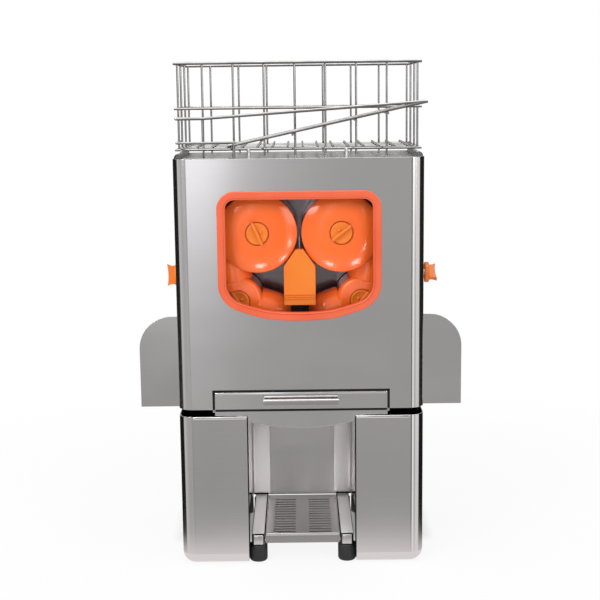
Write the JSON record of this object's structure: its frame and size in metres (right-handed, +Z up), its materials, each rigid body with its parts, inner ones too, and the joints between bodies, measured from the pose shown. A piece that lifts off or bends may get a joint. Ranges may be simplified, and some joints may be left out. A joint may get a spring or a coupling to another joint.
{
  "type": "automatic citrus juicer",
  "caption": "Stainless automatic citrus juicer with a wire feed basket, cup and plunger drums behind a framed window, strainer drawer, spout over a jug bay and peel bins.",
  "frame": {"origin": "on the floor, at the middle of the machine's width and depth", "axes": "+Z up, +X to the right of a person facing the machine, -Y out of the machine's front"},
  "size_m": [0.57, 0.32, 0.8505],
  "materials": {
    "stainless": "fine horizontal brush",
    "wire": "polished wire",
    "press": "moulded, satin",
    "amber": "moulded, glossy",
    "gasket": "moulded, glossy",
    "clear": "clear sheet",
    "rubber": "matt",
    "steel_dark": "machined",
    "bronze": "machined",
    "motor_paint": "paint",
    "black_plastic": "moulded"
  },
  "bodies": {
    "chassis": {"base_frame": "stainless", "rubber_feet": "rubber", "side_panel_left": "stainless", "side_panel_right": "stainless", "back_panel": "stainless", "base_plate": "stainless", "bay_back_panel": "stainless", "overhang_panel": "stainless", "chamber_back_plate": "stainless", "shaft_bushes": "bronze", "gear_plate": "steel_dark", "gear_plate_pillars": "steel_dark", "drive_motor": "motor_paint", "cover_brackets": "stainless", "peel_wedge": "amber", "knife_blade": "stainless", "wing_left": "stainless", "wing_right": "stainless", "tank_runners": "stainless", "top_tray": "stainless", "feed_chute": "stainless", "switch_body": "black_plastic", "cable_gland": "black_plastic"},
    "upper_left_drum": {"upper_left_shaft": "steel_dark", "upper_left_cup_drum": "press", "upper_left_gear": "steel_dark"},
    "upper_left_knob": {"upper_left_lock_knob": "amber"},
    "upper_right_drum": {"upper_right_shaft": "steel_dark", "upper_right_cup_drum": "press", "upper_right_gear": "steel_dark"},
    "upper_right_knob": {"upper_right_lock_knob": "amber"},
    "lower_left_drum": {"lower_left_shaft": "steel_dark", "lower_left_plunger_drum": "press", "lower_left_gear": "steel_dark"},
    "lower_left_knob": {"lower_left_lock_knob": "amber"},
    "lower_right_drum": {"lower_right_shaft": "steel_dark", "lower_right_plunger_drum": "press", "lower_right_gear": "steel_dark"},
    "lower_right_knob": {"lower_right_lock_knob": "amber"},
    "pinion": {"motor_pinion": "steel_dark"},
    "cover": {"front_cover": "stainless", "window_frame": "gasket", "window_pane": "clear"},
    "left_fixing": {"left_cover_knob": "amber"},
    "right_fixing": {"right_cover_knob": "amber"},
    "strainer": {"strainer_drawer": "stainless", "drawer_handle": "stainless"},
    "tank": {"collecting_tank": "stainless"},
    "left_bin": {"left_peel_bin": "stainless"},
    "right_bin": {"right_peel_bin": "stainless"},
    "tray": {"drip_tray": "stainless"},
    "grate": {"drip_grate": "stainless"},
    "basket": {"basket_front_wall": "wire", "basket_rear_wall": "wire", "basket_left_wall": "wire", "basket_right_wall": "wire", "basket_floor": "wire", "ramp_fence": "wire", "ramp_floor": "wire"},
    "rocker": {"switch_rocker": "black_plastic"}
  },
  "joints": [
    {"name": "upper_left_spin", "type": "hinge", "parent": "chassis", "child": "upper_left_drum", "pos_m": [-0.07, -0.126, 0.56801], "axis": [0, 1, 0], "continuous": true},
    {"name": "upper_right_spin", "type": "hinge", "parent": "chassis", "child": "upper_right_drum", "pos_m": [0.07, -0.126, 0.56801], "axis": [0, 1, 0], "continuous": true},
    {"name": "lower_left_spin", "type": "hinge", "parent": "chassis", "child": "lower_left_drum", "pos_m": [-0.104, -0.126, 0.4498], "axis": [0, 1, 0], "continuous": true},
    {"name": "lower_right_spin", "type": "hinge", "parent": "chassis", "child": "lower_right_drum", "pos_m": [0.104, -0.126, 0.4498], "axis": [0, 1, 0], "continuous": true},
    {"name": "pinion_spin", "type": "hinge", "parent": "chassis", "child": "pinion", "pos_m": [0.03148, 0.024, 0.47789], "axis": [0, 1, 0], "continuous": true},
    {"name": "upper_left_knob_turn", "type": "hinge", "parent": "upper_left_drum", "child": "upper_left_knob", "pos_m": [-0.07, -0.126, 0.56801], "axis": [0, 1, 0], "continuous": true},
    {"name": "upper_right_knob_turn", "type": "hinge", "parent": "upper_right_drum", "child": "upper_right_knob", "pos_m": [0.07, -0.126, 0.56801], "axis": [0, 1, 0], "continuous": true},
    {"name": "lower_left_knob_turn", "type": "hinge", "parent": "lower_left_drum", "child": "lower_left_knob", "pos_m": [-0.104, -0.126, 0.4498], "axis": [0, 1, 0], "continuous": true},
    {"name": "lower_right_knob_turn", "type": "hinge", "parent": "lower_right_drum", "child": "lower_right_knob", "pos_m": [0.104, -0.126, 0.4498], "axis": [0, 1, 0], "continuous": true},
    {"name": "left_fixing_turn", "type": "hinge", "parent": "chassis", "child": "left_fixing", "pos_m": [-0.2068, -0.066, 0.492], "axis": [1, 0, 0], "continuous": true},
    {"name": "right_fixing_turn", "type": "hinge", "parent": "chassis", "child": "right_fixing", "pos_m": [0.2068, -0.066, 0.492], "axis": [1, 0, 0], "continuous": true},
    {"name": "cover_pull", "type": "slide", "parent": "chassis", "child": "cover", "axis": [0, -1, 0], "range_m": [0, 0.2]},
    {"name": "strainer_pull", "type": "slide", "parent": "chassis", "child": "strainer", "axis": [0, -1, 0], "range_m": [0, 0.12]},
    {"name": "tank_pull", "type": "slide", "parent": "chassis", "child": "tank", "axis": [0, -1, 0], "range_m": [0, 0.13]},
    {"name": "left_bin_pull", "type": "slide", "parent": "chassis", "child": "left_bin", "axis": [0, -1, 0], "range_m": [0, 0.24]},
    {"name": "right_bin_pull", "type": "slide", "parent": "chassis", "child": "right_bin", "axis": [0, -1, 0], "range_m": [0, 0.24]},
    {"name": "drip_tray_lift", "type": "slide", "parent": "chassis", "child": "tray", "axis": [0, 0, 1], "range_m": [0, 0.08]},
    {"name": "grate_lift", "type": "slide", "parent": "tray", "child": "grate", "axis": [0, 0, 1], "range_m": [0, 0.05]},
    {"name": "basket_lift", "type": "slide", "parent": "chassis", "child": "basket", "axis": [0, 0, 1], "range_m": [0, 0.16]},
    {"name": "switch_rock", "type": "hinge", "parent": "chassis", "child": "rocker", "pos_m": [0.2045, 0.0755, 0.59851], "axis": [0, 1, 0], "range_deg": [-8, 8]}
  ],
  "couplings": [
    {"joint": "upper_right_spin", "follows": "upper_left_spin", "ratio": -1},
    {"joint": "lower_left_spin", "follows": "upper_left_spin", "ratio": -1},
    {"joint": "lower_right_spin", "follows": "upper_left_spin", "ratio": 1},
    {"joint": "pinion_spin", "follows": "upper_left_spin", "ratio": 2.5}
  ]
}
